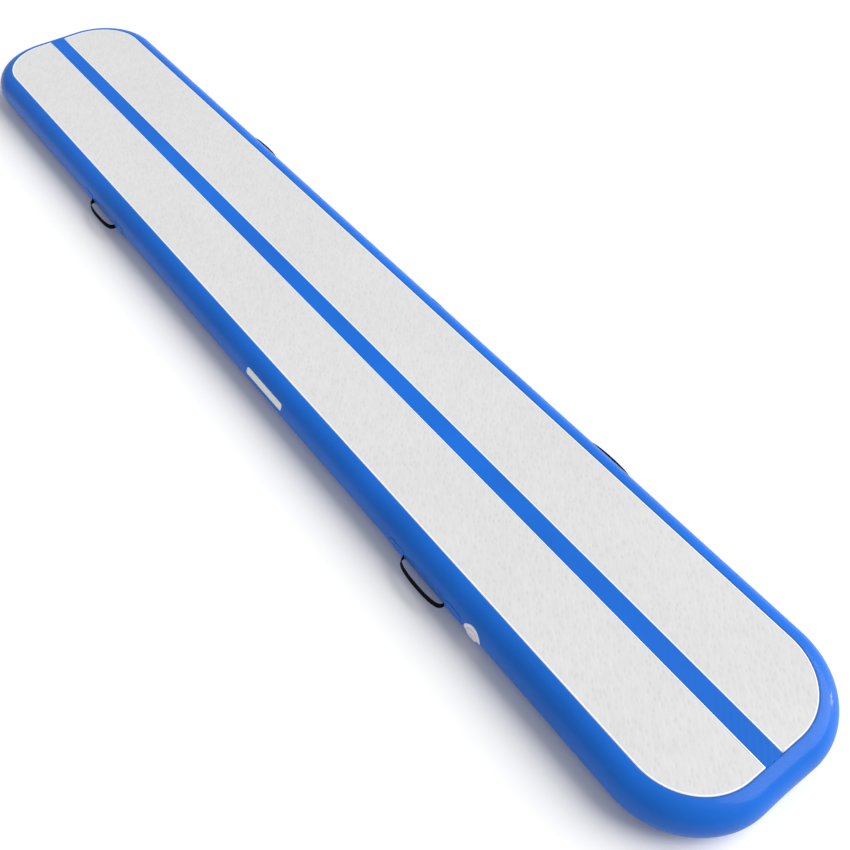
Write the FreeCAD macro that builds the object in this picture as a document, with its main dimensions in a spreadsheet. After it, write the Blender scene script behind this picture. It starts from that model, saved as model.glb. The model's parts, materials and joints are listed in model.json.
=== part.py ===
"""Inflatable tumbling mat: a drop-stitch air chamber with round side walls,
two grey landing covers, a centre line, carry handles and an air valve.

World frame: +X runs along the mat, -Y is the valve side, +Z is up, and the
origin is on the floor under the middle of the mat.  Lengths are millimetres.
"""
import FreeCAD, Part
import math
import os
import Sketcher

OUT_FOLDER = "parts"
os.makedirs(OUT_FOLDER, exist_ok=True)

V = FreeCAD.Vector
X_AXIS = V(1, 0, 0)
Z_AXIS = V(0, 0, 1)

# ---------------------------------------------------------------- dimensions

SIZES = {
    # whole mat
    "mat_length": 6100,
    "mat_width": 1000,
    "mat_thickness": 200,
    "side_bulge": 90,
    "face_corner": 281,
    # sheets, from the outside in
    "wall_sheet": 0.9,
    "liner_sheet": 0.7,
    "cover_sheet": 0.6,
    "skin_sheet": 0.9,
    "tape_sheet": 0.8,
    "tape_lap": 30,
    "bond_gap": 0.2,
    # centre line
    "line_width": 86,
    "line_offset": -12,
    # drop-stitch yarns
    "yarn_radius": 1.5,
    "yarn_pitch_long": 200,
    "yarn_pitch_wide": 160,
    "yarns_long": 29,
    "yarns_wide": 5,
    # cover strip over the joint in the side wall
    "joint_patch_length": 60,
    "joint_patch_rise": 76,
    # blank oval-ended label on the side wall
    "label_length": 300,
    "label_rise": 19,
    "label_sheet": 0.3,
    "label_corner": 12,
    # carry handles
    "handle_span": 270,
    "handle_bow": 42,
    "handle_end_bend": 26,
    "strap_width": 25,
    "strap_sheet": 2.2,
    "strap_end_width": 3,
    "loop_foot": 2.6,
    "tab_length": 62,
    "patch_length": 96,
    "patch_rise": 37,
    "patch_sheet": 1.2,
    "patch_corner": 14,
    # air valve, measured along its axis from the wall's outer face
    "seat_patch_radius": 50,
    "seat_patch_sheet": 1.0,
    "flange_radius": 31,
    "flange_face": 4.5,
    "flange_depth": 8,
    "flange_bevel": 1,
    "barrel_radius": 20,
    "barrel_end": -32,
    "cup_radius": 17,
    "cup_floor": -19,
    "recess_radius": 22,
    "recess_floor": 2.3,
    "spider_sheet": 3,
    "spider_hub": 5,
    "spoke_width": 3,
    "throat_radius": 13,
    "seat_radius": 11,
    "seat_sheet": 4,
    "stem_radius": 2.5,
    "stem_play": 0.06,
    "button_radius": 5,
    "button_top": -4,
    "button_sheet": 3,
    "retainer_radius": 6,
    "retainer_sheet": 1.4,
    "poppet_radius": 14,
    "poppet_sheet": 2.5,
    "seal_sheet": 2,
    "spring_radius": 4.6,
    "spring_wire": 0.45,
    "spring_turns": 4.5,
    "nut_radius": 28,
    "nut_sheet": 7,
    "nut_face": -8,
    "cap_radius": 21.6,
    "cap_under": 3.7,
    "cap_top": 5.7,
    "cap_skirt_radius": 16.7,
    "cap_skirt_bore": 14,
    "cap_skirt_end": -3,
    "cap_grip_width": 5,
    "cap_grip_radius": 12.5,
    "cap_grip_floor": 2.2,
    "cap_groove_depth": 0.9,
    "cap_groove_mid": 0.2,
    "cap_groove_height": 2.2,
    "leash_radius": 21.4,
    "leash_sheet": 1.1,
    "leash_width": 7,
    "leash_reach": 29,
}

# Where things sit along the mat, and how far each is turned down (+) or up (-)
# round the side wall's own axis, in degrees.
HANDLE_TILT = 8.6
HANDLES = {
    "front_left": (1610, -1),
    "back_left": (-1300, -1),
    "front_right": (1610, 1),
    "back_right": (-1300, 1),
}
VALVE_X = 1915
VALVE_TILT = 6.5
LABEL_X = 380
LABEL_TILT = -20
JOINT_PATCH_X = 420

doc = FreeCAD.newDocument("AirTrackMat")
sheet = doc.addObject("Spreadsheet::Sheet", "Dims")
for row, (alias, number) in enumerate(SIZES.items(), start=1):
    sheet.set(f"A{row}", alias)
    sheet.set(f"B{row}", str(number))
    sheet.setAlias(f"B{row}", alias)
doc.recompute()


def dim(alias):
    return SIZES[alias]


# Lengths worked out from the driving dimensions: as numbers, for starting
# geometry and placements, and as expressions, for the sizes themselves.
wall_radius = ((dim("mat_thickness") / 2) ** 2 + dim("side_bulge") ** 2) / (2 * dim("side_bulge"))
wall_centre = dim("mat_width") / 2 - wall_radius
face_half_width = dim("mat_width") / 2 - dim("side_bulge")
face_half_length = dim("mat_length") / 2 - dim("side_bulge")

WALL_RADIUS = "((Dims.mat_thickness / 2) ^ 2 + Dims.side_bulge ^ 2) / (2 * Dims.side_bulge)"
WALL_CENTRE = f"(Dims.mat_width / 2 - {WALL_RADIUS})"
FACE_HALF_WIDTH = "(Dims.mat_width / 2 - Dims.side_bulge)"
FACE_HALF_LENGTH = "(Dims.mat_length / 2 - Dims.side_bulge)"
LINE_LEFT = "(Dims.line_offset - Dims.line_width / 2)"
LINE_RIGHT = "(Dims.line_offset + Dims.line_width / 2)"
GAP = (dim("bond_gap"), "Dims.bond_gap")

# ------------------------------------------------------------------- helpers


def new_body(label):
    body = doc.addObject("PartDesign::Body", label)
    body.Label = label
    return body


def new_sketch(body, role, height=None):
    """A sketch on one of the body's own origin planes, raised by an expression."""
    sketch = body.newObject("Sketcher::SketchObject", f"{body.Label}_sketch")
    plane = next(item for item in body.Origin.OriginFeatures if item.Role == role)
    sketch.AttachmentSupport = [(plane, "")]
    sketch.MapMode = "FlatFace"
    if height:
        sketch.setExpression("AttachmentOffset.Base.z", height)
    return sketch


def bind(sketch, kind, *geometry, to):
    """Add a dimension at its present value, then drive it with an expression."""
    if kind == "Radius":
        start = sketch.Geometry[geometry[0]].Radius
    else:
        point = sketch.getPoint(geometry[2], geometry[3])
        start = point.x if kind == "DistanceX" else point.y
    index = sketch.addConstraint(Sketcher.Constraint(kind, *geometry, start))
    name = f"{kind}_{index}"
    sketch.renameConstraint(index, name)
    sketch.setExpression(f"Constraints.{name}", to)


def fix_point(sketch, geometry, vertex, x, y):
    """Drive a point's two coordinates, each given as an expression or None."""
    if x is not None:
        bind(sketch, "DistanceX", -1, 1, geometry, vertex, to=x)
    if y is not None:
        bind(sketch, "DistanceY", -1, 1, geometry, vertex, to=y)


def join_ends(sketch, first, count):
    for step in range(count):
        after = first + (step + 1) % count
        sketch.addConstraint(Sketcher.Constraint("Coincident", first + step, 2, after, 1))


def add_polygon(sketch, corners):
    """A closed outline whose corners are pairs of expressions."""
    first = sketch.GeometryCount
    count = len(corners)
    turn = 2 * math.pi / count
    ring = [V(10 * math.cos(turn * k), 10 * math.sin(turn * k), 0) for k in range(count)]
    for k in range(count):
        sketch.addGeometry(Part.LineSegment(ring[k], ring[(k + 1) % count]))
    join_ends(sketch, first, count)
    for k, (x, y) in enumerate(corners):
        fix_point(sketch, first + k, 1, x, y)


def add_circle(sketch, radius, x="0", y="0"):
    index = sketch.addGeometry(Part.Circle(V(0, 0, 0), Z_AXIS, 10))
    bind(sketch, "Radius", index, to=radius)
    fix_point(sketch, index, 3, x, y)


def arc(centre_x, centre_y, radius, start, end):
    circle = Part.Circle(V(centre_x, centre_y, 0), Z_AXIS, radius)
    return Part.ArcOfCircle(circle, start, end)


def add_rounded_rectangle(sketch, mid, half_x, half_y, bend):
    """A rounded outline, drawn from the middle of its lower side.

    Each size is a (number, expression) pair; mid is the outline's middle in x.
    """
    x, y = half_x[0] - bend[0], half_y[0] - bend[0]
    left, right = mid[0] - half_x[0], mid[0] + half_x[0]
    quarter = math.pi / 2
    pieces = [
        Part.LineSegment(V(mid[0], -half_y[0], 0), V(mid[0] + x, -half_y[0], 0)),
        arc(mid[0] + x, -y, bend[0], -quarter, 0),
        Part.LineSegment(V(right, -y, 0), V(right, y, 0)),
        arc(mid[0] + x, y, bend[0], 0, quarter),
        Part.LineSegment(V(mid[0] + x, half_y[0], 0), V(mid[0] - x, half_y[0], 0)),
        arc(mid[0] - x, y, bend[0], quarter, 2 * quarter),
        Part.LineSegment(V(left, y, 0), V(left, -y, 0)),
        arc(mid[0] - x, -y, bend[0], 2 * quarter, 3 * quarter),
        Part.LineSegment(V(mid[0] - x, -half_y[0], 0), V(mid[0], -half_y[0], 0)),
    ]
    first = sketch.GeometryCount
    sketch.addGeometry(pieces)
    join_ends(sketch, first, len(pieces))
    east, west = f"({mid[1]} + {half_x[1]})", f"({mid[1]} - {half_x[1]})"
    bend_east, bend_west = f"({east} - {bend[1]})", f"({west} + {bend[1]})"
    bend_y = f"({half_y[1]} - {bend[1]})"
    starts = [
        (mid[1], f"-{half_y[1]}"),
        (bend_east, f"-{half_y[1]}"),
        (east, f"-{bend_y}"),
        (east, bend_y),
        (bend_east, half_y[1]),
        (bend_west, half_y[1]),
        (west, bend_y),
        (west, f"-{bend_y}"),
        (bend_west, f"-{half_y[1]}"),
    ]
    for k, (x_start, y_start) in enumerate(starts):
        fix_point(sketch, first + k, 1, x_start, y_start)
    for corner in (1, 3, 5, 7):
        bind(sketch, "Radius", first + corner, to=bend[1])


def add_face_outline(sketch, inset):
    """The rounded plan outline of the mat's flat faces, moved in by inset."""
    add_rounded_rectangle(
        sketch,
        (0, "0"),
        (face_half_length - inset[0], f"({FACE_HALF_LENGTH} - {inset[1]})"),
        (face_half_width - inset[0], f"({FACE_HALF_WIDTH} - {inset[1]})"),
        (dim("face_corner") - inset[0], f"(Dims.face_corner - {inset[1]})"),
    )


def add_wall_arc_band(sketch, inner, outer, rise):
    """A strip of the side wall's round section, opening away from -Y.

    inner and outer are (number, expression) radii about the wall's axis, which
    is the sketch's origin, and rise is the strip's half height.
    """
    half = rise[0]
    first = sketch.GeometryCount
    sides = []
    for radius in (outer[0], inner[0]):
        lean = math.asin(half / radius)
        sides.append((radius, math.pi - lean, math.pi + lean))
    top_out = V(sides[0][0] * math.cos(sides[0][1]), half, 0)
    top_in = V(sides[1][0] * math.cos(sides[1][1]), half, 0)
    sketch.addGeometry(arc(0, 0, *sides[0]))
    sketch.addGeometry(Part.LineSegment(V(top_out.x, -half, 0), V(top_in.x, -half, 0)))
    sketch.addGeometry(arc(0, 0, *sides[1]))
    sketch.addGeometry(Part.LineSegment(top_in, top_out))
    joins = ((0, 2, 1, 1), (1, 2, 2, 2), (2, 1, 3, 1), (3, 2, 0, 1))
    for a, end_a, b, end_b in joins:
        sketch.addConstraint(Sketcher.Constraint("Coincident", first + a, end_a, first + b, end_b))
    for piece, radius in ((0, outer), (2, inner)):
        sketch.addConstraint(Sketcher.Constraint("Coincident", first + piece, 3, -1, 1))
        bind(sketch, "Radius", first + piece, to=radius[1])
        fix_point(sketch, first + piece, 1, None, rise[1])
        fix_point(sketch, first + piece, 2, None, f"-({rise[1]})")


def pad(body, sketch, length, both_ways=False):
    feature = body.newObject("PartDesign::Pad", f"{body.Label}_pad")
    feature.Profile = sketch
    feature.setExpression("Length", length)
    feature.Midplane = both_ways
    return feature


def pocket(body, sketch, length):
    """Cut a sketch out of the body, the same way to both sides of its plane."""
    feature = body.newObject("PartDesign::Pocket", f"{body.Label}_pocket")
    feature.Profile = sketch
    feature.setExpression("Length", length)
    feature.Midplane = True
    return feature


def origin_axis(body, role):
    return next(item for item in body.Origin.OriginFeatures if item.Role == role)


def revolve(body, sketch):
    feature = body.newObject("PartDesign::Revolution", f"{body.Label}_turned")
    feature.Profile = sketch
    feature.ReferenceAxis = (origin_axis(body, "Z_Axis"), [""])
    feature.Angle = 360
    return feature


def cylinder(label, radius, height, base=V(0, 0, 0), along=Z_AXIS):
    """A plain cylinder, centred on base when height runs both ways."""
    item = doc.addObject("Part::Cylinder", label)
    item.setExpression("Radius", radius)
    item.setExpression("Height", height)
    item.Placement = FreeCAD.Placement(base, FreeCAD.Rotation(Z_AXIS, along))
    return item


def boolean(kind, label, base, tool):
    item = doc.addObject(f"Part::{kind}", label)
    item.Base = base
    item.Tool = tool
    item.Label = label
    return item


def wall_placement(x, side, tilt):
    """Places a piece drawn about the wall's axis, with -Y straight out."""
    turn = FreeCAD.Rotation(Z_AXIS, 180 if side > 0 else 0) * FreeCAD.Rotation(X_AXIS, tilt)
    return FreeCAD.Placement(V(x, side * wall_centre, dim("mat_thickness") / 2), turn)


def valve_placement():
    """Places a valve piece drawn with +Z straight out of the wall's outer face."""
    outward = FreeCAD.Placement(V(0, -wall_radius, 0), FreeCAD.Rotation(X_AXIS, 90))
    return wall_placement(VALVE_X, -1, VALVE_TILT).multiply(outward)


nodes = []


def keep(item):
    nodes.append(item)
    return item


# ---------------------------------------------------- flat sheets of the mat


def flat_sheet(label, height, thickness):
    body = new_body(label)
    sketch = new_sketch(body, "XY_Plane", height)
    add_face_outline(sketch, GAP)
    pad(body, sketch, thickness)
    return keep(body)


flat_sheet("bottom_cover", "0", "Dims.cover_sheet")
flat_sheet("bottom_skin", "Dims.cover_sheet", "Dims.skin_sheet")
TOP_SKIN_BASE = "Dims.mat_thickness - Dims.cover_sheet - Dims.skin_sheet"
flat_sheet("top_skin", TOP_SKIN_BASE, "Dims.skin_sheet")


def landing_cover(label, side):
    """One grey cover, from the centre line to the rim on one side of the mat."""
    body = new_body(label)
    sketch = new_sketch(body, "XY_Plane", "Dims.mat_thickness - Dims.cover_sheet")
    gap, bend = dim("bond_gap"), dim("face_corner") - dim("bond_gap")
    inner = side * (dim("line_offset") * side + dim("line_width") / 2 + gap)
    outer = side * (face_half_width - gap)
    long = face_half_length - gap
    x, y = long - bend, outer - side * bend
    first_turn = sorted((0, side * math.pi / 2))
    second_turn = sorted((math.pi, math.pi - side * math.pi / 2))
    sketch.addGeometry([
        Part.LineSegment(V(-long, inner, 0), V(long, inner, 0)),
        Part.LineSegment(V(long, inner, 0), V(long, y, 0)),
        arc(x, y, bend, *first_turn),
        Part.LineSegment(V(x, outer, 0), V(-x, outer, 0)),
        arc(-x, y, bend, *second_turn),
        Part.LineSegment(V(-long, y, 0), V(-long, inner, 0)),
    ])
    near, far = (1, 2) if side > 0 else (2, 1)
    joins = ((0, 2, 1, 1), (1, 2, 2, near), (2, far, 3, 1), (3, 2, 4, near), (4, far, 5, 1), (5, 2, 0, 1))
    for a, end_a, b, end_b in joins:
        sketch.addConstraint(Sketcher.Constraint("Coincident", a, end_a, b, end_b))
    sign = "" if side > 0 else "-"
    inner_edge = f"({LINE_RIGHT} + Dims.bond_gap)" if side > 0 else f"({LINE_LEFT} - Dims.bond_gap)"
    reach_x = f"({FACE_HALF_LENGTH} - Dims.bond_gap)"
    reach_y = f"{sign}({FACE_HALF_WIDTH} - Dims.bond_gap)"
    centre_x = f"({FACE_HALF_LENGTH} - Dims.face_corner)"
    centre_y = f"{sign}({FACE_HALF_WIDTH} - Dims.face_corner)"
    fix_point(sketch, 0, 1, f"-{reach_x}", inner_edge)
    fix_point(sketch, 1, 1, reach_x, inner_edge)
    fix_point(sketch, 1, 2, reach_x, centre_y)
    fix_point(sketch, 3, 1, centre_x, reach_y)
    fix_point(sketch, 3, 2, f"-{centre_x}", reach_y)
    fix_point(sketch, 5, 1, f"-{reach_x}", centre_y)
    for corner in (2, 4):
        bind(sketch, "Radius", corner, to="Dims.face_corner - Dims.bond_gap")
    pad(body, sketch, "Dims.cover_sheet")
    return keep(body)


landing_cover("left_landing_cover", -1)
landing_cover("right_landing_cover", 1)


def centre_line():
    body = new_body("centre_line_strip")
    sketch = new_sketch(body, "XY_Plane", "Dims.mat_thickness - Dims.cover_sheet")
    reach = f"({FACE_HALF_LENGTH} - Dims.bond_gap)"
    add_polygon(sketch, [
        (f"-{reach}", LINE_LEFT), (reach, LINE_LEFT), (reach, LINE_RIGHT), (f"-{reach}", LINE_RIGHT),
    ])
    pad(body, sketch, "Dims.cover_sheet")
    return keep(body)


centre_line()


def seam_tape(label, height):
    """A flat ring inside the chamber that seals the skin's edge."""
    body = new_body(label)
    sketch = new_sketch(body, "XY_Plane", height)
    add_face_outline(sketch, GAP)
    add_face_outline(sketch, (dim("tape_lap"), "Dims.tape_lap"))
    pad(body, sketch, "Dims.tape_sheet")
    return keep(body)


seam_tape("bottom_seam_tape", "Dims.cover_sheet + Dims.skin_sheet + Dims.bond_gap")
seam_tape("top_seam_tape", f"{TOP_SKIN_BASE} - Dims.bond_gap - Dims.tape_sheet")


def drop_stitch_yarns():
    """Threads that tie the two skins together and keep the mat flat."""
    body = new_body("drop_stitch_yarns")
    base = "Dims.cover_sheet + Dims.skin_sheet"
    sketch = new_sketch(body, "XY_Plane", base)
    start_x = "-(Dims.yarns_long - 1) * Dims.yarn_pitch_long / 2"
    start_y = "-(Dims.yarns_wide - 1) * Dims.yarn_pitch_wide / 2"
    add_circle(sketch, "Dims.yarn_radius", start_x, start_y)
    yarn = pad(body, sketch, f"{TOP_SKIN_BASE} - ({base})")
    grid = body.newObject("PartDesign::MultiTransform", "yarn_grid")
    grid.Originals = [yarn]
    rows = []
    for role, pitch, count in (
        ("X_Axis", "yarn_pitch_long", "yarns_long"),
        ("Y_Axis", "yarn_pitch_wide", "yarns_wide"),
    ):
        pattern = body.newObject("PartDesign::LinearPattern", f"yarns_{role}")
        pattern.Direction = (origin_axis(body, role), [""])
        pattern.setExpression("Length", f"(Dims.{count} - 1) * Dims.{pitch}")
        pattern.setExpression("Occurrences", f"Dims.{count}")
        rows.append(pattern)
    grid.Transformations = rows
    body.Tip = grid
    return keep(body)


drop_stitch_yarns()

# ----------------------------------------------------------------- side wall


def valve_hole(label):
    """The clearance hole through the wall for the valve's barrel."""
    hole = cylinder(label, "Dims.barrel_radius + Dims.bond_gap", "Dims.side_bulge")
    inward = FreeCAD.Placement(V(0, 0, -dim("side_bulge") / 2), FreeCAD.Rotation())
    hole.Placement = valve_placement().multiply(inward)
    return hole


def wall_band(label, depth, thickness):
    """A round-sectioned band all the way round, with a hole for the valve.

    depth is how far its outer face lies inside the mat's outer face.
    """
    body = new_body(f"{label}_ring")
    path = new_sketch(body, "XY_Plane")
    add_face_outline(path, (0, "0"))
    section = new_sketch(body, "YZ_Plane")
    outer = wall_radius - depth[0]
    inner = outer - thickness[0]
    middle = dim("mat_thickness") / 2
    reach = face_half_width - wall_centre
    ends = [math.atan2(math.sqrt(radius ** 2 - reach ** 2), -reach) for radius in (outer, inner)]
    section.addGeometry(arc(-wall_centre, middle, outer, ends[0], 2 * math.pi - ends[0]))
    section.addGeometry(arc(-wall_centre, middle, inner, ends[1], 2 * math.pi - ends[1]))
    outer_arc, inner_arc = section.Geometry[0], section.Geometry[1]
    section.addGeometry(Part.LineSegment(outer_arc.StartPoint, inner_arc.StartPoint))
    section.addGeometry(Part.LineSegment(outer_arc.EndPoint, inner_arc.EndPoint))
    for a, end_a, b, end_b in ((2, 1, 0, 1), (2, 2, 1, 1), (3, 1, 0, 2), (3, 2, 1, 2)):
        section.addConstraint(Sketcher.Constraint("Coincident", a, end_a, b, end_b))
    radii = (f"{WALL_RADIUS} - {depth[1]}", f"{WALL_RADIUS} - {depth[1]} - {thickness[1]}")
    for piece, radius in enumerate(radii):
        bind(section, "Radius", piece, to=radius)
        fix_point(section, piece, 3, f"-{WALL_CENTRE}", "Dims.mat_thickness / 2")
        fix_point(section, piece, 1, f"-{FACE_HALF_WIDTH}", None)
        fix_point(section, piece, 2, f"-{FACE_HALF_WIDTH}", None)
    sweep = body.newObject("PartDesign::AdditivePipe", f"{label}_sweep")
    sweep.Profile = section
    sweep.Spine = (path, [])
    return keep(boolean("Cut", label, body, valve_hole(f"{label}_hole")))


wall_band("outer_side_wall", (0.0, "0"), (dim("wall_sheet"), "Dims.wall_sheet"))
wall_band(
    "inner_wall_liner",
    (dim("wall_sheet") + dim("bond_gap"), "(Dims.wall_sheet + Dims.bond_gap)"),
    (dim("liner_sheet"), "Dims.liner_sheet"),
)


def wall_arc_pad(label, base, thickness, rise, length):
    """A strip that follows the wall's round section, the same both ways in X."""
    body = new_body(label)
    sketch = new_sketch(body, "YZ_Plane")
    inner = wall_radius + base[0]
    outer = inner + thickness[0]
    inner_text = f"({WALL_RADIUS} + {base[1]})"
    add_wall_arc_band(sketch, (inner, inner_text), (outer, f"{inner_text} + {thickness[1]}"), rise)
    pad(body, sketch, length, both_ways=True)
    return body


def rounded_prisms(label, mids, half_x, half_y, bend):
    """Rounded outlines seen from the mat's side, made deep enough to cut a strip."""
    body = new_body(label)
    sketch = new_sketch(body, "XZ_Plane")
    for mid in mids:
        add_rounded_rectangle(sketch, mid, half_x, half_y, bend)
    pad(body, sketch, "4 * Dims.mat_thickness", both_ways=True)
    return body


joint_patch = wall_arc_pad(
    "wall_joint_patch", GAP, (dim("tape_sheet"), "Dims.tape_sheet"),
    (dim("joint_patch_rise"), "Dims.joint_patch_rise"), "Dims.joint_patch_length",
)
joint_patch.Placement = wall_placement(JOINT_PATCH_X, 1, 0)
keep(joint_patch)

label_strip = wall_arc_pad(
    "label_strip", GAP, (dim("label_sheet"), "Dims.label_sheet"),
    (dim("label_rise"), "Dims.label_rise"), "Dims.label_length",
)
label_outline = rounded_prisms(
    "label_outline", [(0, "0")], (dim("label_length") / 2, "(Dims.label_length / 2)"),
    (dim("label_rise"), "Dims.label_rise"), (dim("label_corner"), "Dims.label_corner"),
)
blank_label = keep(boolean("Common", "blank_label", label_strip, label_outline))
blank_label.Placement = wall_placement(LABEL_X, -1, LABEL_TILT)

# ------------------------------------------------------------- carry handles

strap_base = wall_radius + dim("bond_gap")
strap_top = strap_base + dim("strap_sheet")
STRAP_BASE = f"({WALL_RADIUS} + Dims.bond_gap)"
STRAP_TOP = f"({STRAP_BASE} + Dims.strap_sheet)"
TAB_START = "(Dims.handle_span / 2 + Dims.strap_sheet / 2 + Dims.bond_gap * 2)"


def handle_loop(name, placement):
    """The webbing grip: a three-centred arch with narrowed ends."""
    body = new_body(f"{name}_handle_loop")
    foot = -(wall_radius + dim("loop_foot"))
    half_span, bend = dim("handle_span") / 2, dim("handle_end_bend")
    height = dim("handle_bow") - dim("loop_foot") - dim("strap_sheet") / 2
    crown = ((half_span - bend) ** 2 + height ** 2 - bend ** 2) / (2 * (height - bend))
    lean = math.atan2(crown - height, half_span - bend)
    path = new_sketch(body, "XY_Plane")
    path.addGeometry(arc(half_span - bend, foot, bend, -lean, 0))
    path.addGeometry(arc(0, foot + crown - height, crown, lean - math.pi, -lean))
    path.addGeometry(arc(bend - half_span, foot, bend, -math.pi, lean - math.pi))
    path.addConstraint(Sketcher.Constraint("Tangent", 0, 1, 1, 2))
    path.addConstraint(Sketcher.Constraint("Tangent", 1, 1, 2, 2))
    foot_text = f"-({WALL_RADIUS} + Dims.loop_foot)"
    rise_text = "(Dims.handle_bow - Dims.loop_foot - Dims.strap_sheet / 2)"
    bend_x = "(Dims.handle_span / 2 - Dims.handle_end_bend)"
    fix_point(path, 0, 3, bend_x, foot_text)
    fix_point(path, 2, 3, f"-{bend_x}", foot_text)
    fix_point(path, 0, 2, None, foot_text)
    fix_point(path, 2, 1, None, foot_text)
    bind(path, "Radius", 0, to="Dims.handle_end_bend")
    bind(path, "Radius", 2, to="Dims.handle_end_bend")
    crown_text = (
        f"({bend_x} ^ 2 + {rise_text} ^ 2 - Dims.handle_end_bend ^ 2)"
        f" / (2 * ({rise_text} - Dims.handle_end_bend))"
    )
    bind(path, "Radius", 1, to=crown_text)
    section = new_sketch(body, "XZ_Plane", f"({WALL_RADIUS} + Dims.loop_foot)")
    near = "(Dims.handle_span / 2 - Dims.strap_sheet / 2)"
    far = "(Dims.handle_span / 2 + Dims.strap_sheet / 2)"
    edge = "(Dims.strap_width / 2)"
    add_polygon(section, [(near, f"-{edge}"), (far, f"-{edge}"), (far, edge), (near, edge)])
    sweep = body.newObject("PartDesign::AdditivePipe", f"{body.Label}_sweep")
    sweep.Profile = section
    sweep.Spine = (path, [])
    taper = new_sketch(body, "XZ_Plane")
    past, tip, wide = f"({far} + 2)", "(Dims.strap_end_width / 2)", f"({edge} + 2)"
    for x_sign in ("", "-"):
        for z_sign in ("", "-"):
            add_polygon(taper, [
                (f"{x_sign}{bend_x}", f"{z_sign}{wide}"),
                (f"{x_sign}{bend_x}", f"{z_sign}{edge}"),
                (f"{x_sign}{past}", f"{z_sign}{tip}"),
                (f"{x_sign}{past}", f"{z_sign}{wide}"),
            ])
    pocket(body, taper, "4 * Dims.mat_thickness")
    body.Placement = placement
    return keep(body)


def handle_sewn_ends(name, placement):
    """The two flat ends of the webbing, which lie on the wall."""
    rise = (dim("strap_width") / 2, "(Dims.strap_width / 2)")
    ends = wall_arc_pad(
        f"{name}_handle_sewn_ends", GAP, (dim("strap_sheet"), "Dims.strap_sheet"), rise,
        f"2 * ({TAB_START} + Dims.tab_length)",
    )
    middle = new_sketch(ends, "YZ_Plane")
    add_wall_arc_band(
        middle, (strap_base - 1, f"({STRAP_BASE} - 1)"), (strap_top + 1, f"({STRAP_TOP} + 1)"),
        (rise[0] + 1, f"({rise[1]} + 1)"),
    )
    pocket(ends, middle, f"2 * {TAB_START}")
    ends.Placement = placement
    return keep(ends)


def handle_patches(name, placement):
    """The two welded patches that hold the sewn ends down."""
    rise = (dim("patch_rise"), "Dims.patch_rise")
    outer = dim("strap_sheet") + dim("bond_gap") + dim("patch_sheet")
    outer_text = "(Dims.strap_sheet + Dims.bond_gap + Dims.patch_sheet)"
    reach = "(Dims.handle_span + 4 * Dims.patch_length)"
    strip = wall_arc_pad(f"{name}_patch_strip", GAP, (outer, outer_text), rise, reach)
    slot = new_sketch(strip, "YZ_Plane")
    slot_rise = (dim("strap_width") / 2 + dim("bond_gap"), "(Dims.strap_width / 2 + Dims.bond_gap)")
    slot_inner = (strap_base - 1, f"({STRAP_BASE} - 1)")
    slot_outer = (strap_top + dim("bond_gap"), f"({STRAP_TOP} + Dims.bond_gap)")
    add_wall_arc_band(slot, slot_inner, slot_outer, slot_rise)
    pocket(strip, slot, f"2 * ({TAB_START} + Dims.tab_length + Dims.bond_gap)")
    start = dim("handle_span") / 2 + dim("strap_sheet") / 2 + dim("bond_gap") * 2
    half = dim("patch_length") / 2
    mids = [
        (sign * (start + half), f"{sign} * ({TAB_START} + Dims.patch_length / 2)") for sign in (1, -1)
    ]
    outlines = rounded_prisms(
        f"{name}_patch_outlines", mids, (half, "(Dims.patch_length / 2)"), rise,
        (dim("patch_corner"), "Dims.patch_corner"),
    )
    patches = boolean("Common", f"{name}_handle_patches", strip, outlines)
    patches.Placement = placement
    return keep(patches)


for handle_name, (handle_x, handle_side) in HANDLES.items():
    handle_place = wall_placement(handle_x, handle_side, HANDLE_TILT)
    handle_loop(handle_name, handle_place)
    handle_sewn_ends(handle_name, handle_place)
    handle_patches(handle_name, handle_place)

# ----------------------------------------------------------------- air valve
# Valve pieces are drawn about their own +Z axis, which points out of the mat,
# with height 0 on the wall's outer face.  The wall's axis is then a line along
# X at height -wall_radius.


def turned(label, outline):
    """A piece turned about the valve's axis from (radius, height) corners."""
    body = new_body(label)
    sketch = new_sketch(body, "XZ_Plane")
    add_polygon(sketch, outline)
    revolve(body, sketch)
    return body


def wall_cylinder(label, radius):
    """A cylinder about the wall's own axis, long enough to cross the valve."""
    reach = 2 * dim("seat_patch_radius")
    base = V(-reach, 0, -wall_radius)
    return cylinder(label, radius, "4 * Dims.seat_patch_radius", base, X_AXIS)


def ring(label, inner, outer, low, high):
    return turned(label, [(inner, low), (outer, low), (outer, high), (inner, high)])


def seat_patch():
    base = f"{WALL_RADIUS} + Dims.bond_gap"
    disc = ring(
        "valve_seat_disc", "(Dims.barrel_radius + Dims.bond_gap)", "Dims.seat_patch_radius",
        "-Dims.side_bulge / 2", "Dims.side_bulge / 2",
    )
    over = wall_cylinder("valve_seat_over", f"{base} + Dims.seat_patch_sheet")
    under = wall_cylinder("valve_seat_under", base)
    shell = boolean("Common", "valve_seat_shell", disc, over)
    return boolean("Cut", "valve_seat_patch", shell, under)


SEAT_TOP = "(Dims.barrel_end + Dims.seat_sheet)"
SPIDER_TOP = "Dims.cup_floor"
SPIDER_LOW = "(Dims.cup_floor - Dims.spider_sheet)"


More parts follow.
